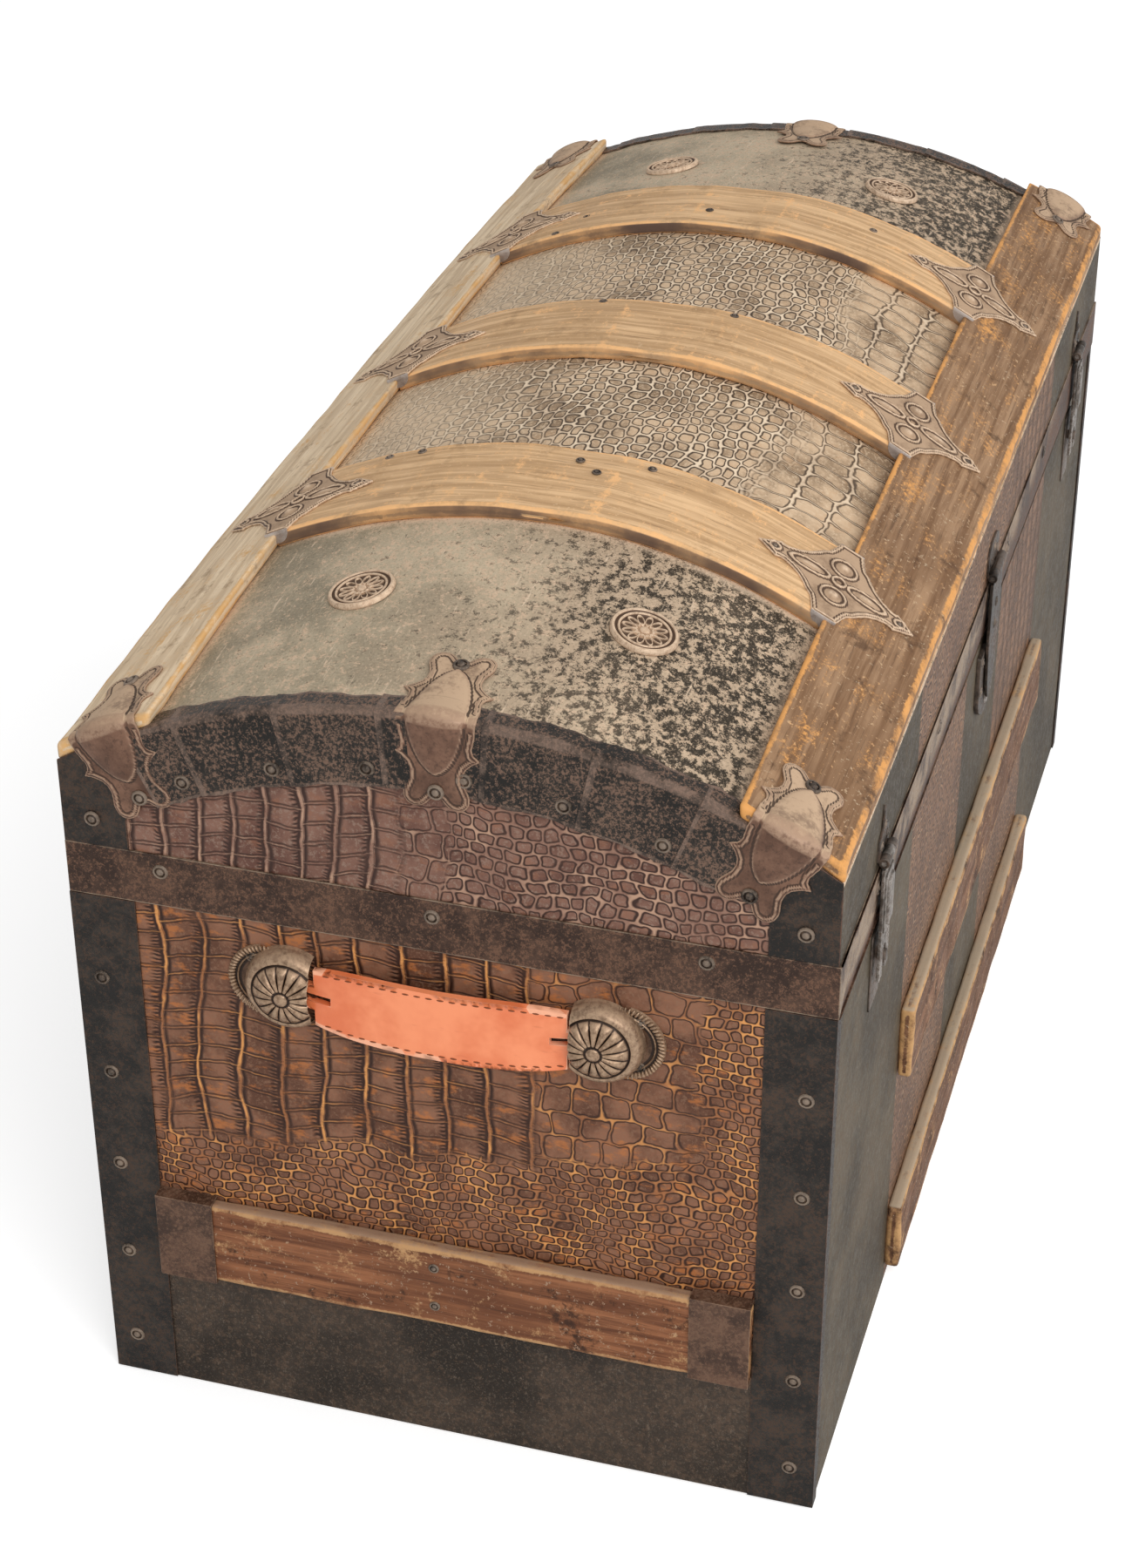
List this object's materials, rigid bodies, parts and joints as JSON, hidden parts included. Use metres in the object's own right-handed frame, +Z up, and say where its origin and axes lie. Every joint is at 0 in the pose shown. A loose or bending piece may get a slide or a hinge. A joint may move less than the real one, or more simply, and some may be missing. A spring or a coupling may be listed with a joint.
{
  "type": "dome top trunk",
  "caption": "Antique travelling trunk with a domed, slatted lid on rear hinges, a hasp and lock, draw latches and leather end handles.",
  "frame": {"origin": "centre of the underside of the body", "axes": "+X along the length, -Y towards the front with the lock, +Z up"},
  "size_m": [0.947, 0.4612, 0.518],
  "materials": {
    "case_wood": "bare pine boards",
    "slat_wood": "worn varnished hardwood",
    "black_sheet": "worn black paint over iron, rust speckled",
    "olive_sheet": "smooth olive paint, dull",
    "embossed_sheet": "reptile-embossed sheet, brown",
    "iron_trim": "black iron, rusty edges",
    "stamped_clamp": "stamped iron, bronzed, dusty",
    "bronzed_cap": "stamped and bronzed",
    "steel_fitting": "tarnished plate",
    "strap_leather": "tan leather"
  },
  "bodies": {
    "body": {"body_front_board": "case_wood", "body_back_board": "case_wood", "body_left_board": "case_wood", "body_right_board": "case_wood", "bottom_board": "case_wood", "body_front_bay_sheets": "olive_sheet", "body_front_centre_sheet": "olive_sheet", "body_front_embossed_panels": "embossed_sheet", "body_back_sheet": "black_sheet", "body_end_embossed_panels": "embossed_sheet", "body_end_lower_sheets": "black_sheet", "body_corner_strips": "iron_trim", "left_end_slat": "slat_wood", "right_end_slat": "slat_wood", "front_upper_slat": "slat_wood", "back_upper_slat": "slat_wood", "front_lower_slat": "slat_wood", "back_lower_slat": "slat_wood", "end_slat_caps": "iron_trim", "hinge_lower_leaves": "iron_trim", "hinge_pins": "iron_trim", "lock_case": "iron_trim", "latch_catches": "iron_trim", "handle_caps": "bronzed_cap", "handle_studs": "iron_trim"},
    "lid": {"lid_front_board": "case_wood", "lid_back_board": "case_wood", "lid_left_board": "case_wood", "lid_right_board": "case_wood", "dome_staves": "case_wood", "dome_bay_sheets": "black_sheet", "dome_embossed_panels": "embossed_sheet", "lid_front_bay_sheets": "olive_sheet", "lid_front_embossed_panel": "embossed_sheet", "lid_back_sheet": "black_sheet", "lid_end_embossed_panels": "embossed_sheet", "left_dome_slat": "slat_wood", "centre_dome_slat": "slat_wood", "right_dome_slat": "slat_wood", "front_edge_plank": "slat_wood", "back_edge_plank": "slat_wood", "arch_edging": "iron_trim", "lid_corner_plates": "iron_trim", "lid_band": "iron_trim", "end_clamps": "stamped_clamp", "slat_clamps": "stamped_clamp", "rosettes": "bronzed_cap", "hinge_upper_leaves": "iron_trim", "fitting_hinge_plates": "steel_fitting", "fitting_pins": "steel_fitting"},
    "hasp": {"hasp": "steel_fitting"},
    "left_latch": {"left_latch_tongue": "steel_fitting"},
    "right_latch": {"right_latch_tongue": "steel_fitting"},
    "left_handle": {"left_handle_strap": "strap_leather"},
    "right_handle": {"right_handle_strap": "strap_leather"}
  },
  "joints": [
    {"name": "lid_hinge", "type": "hinge", "parent": "body", "child": "lid", "pos_m": [0, 0.2265, 0.37225], "axis": [-1, 0, 0], "range_deg": [0, 100]},
    {"name": "hasp_hinge", "type": "hinge", "parent": "lid", "child": "hasp", "pos_m": [0, -0.2262, 0.4], "axis": [-1, 0, 0], "range_deg": [0, 150]},
    {"name": "left_latch_hinge", "type": "hinge", "parent": "lid", "child": "left_latch", "pos_m": [-0.35, -0.2262, 0.4], "axis": [-1, 0, 0], "range_deg": [0, 150]},
    {"name": "right_latch_hinge", "type": "hinge", "parent": "lid", "child": "right_latch", "pos_m": [0.35, -0.2262, 0.4], "axis": [-1, 0, 0], "range_deg": [0, 150]},
    {"name": "left_handle_swing", "type": "hinge", "parent": "body", "child": "left_handle", "pos_m": [-0.46099, 0, 0.32], "axis": [0, 1, 0], "range_deg": [-8, 8], "stiffness_Nm_per_rad": 0.3},
    {"name": "right_handle_swing", "type": "hinge", "parent": "body", "child": "right_handle", "pos_m": [0.46099, 0, 0.32], "axis": [0, -1, 0], "range_deg": [-8, 8], "stiffness_Nm_per_rad": 0.3}
  ]
}
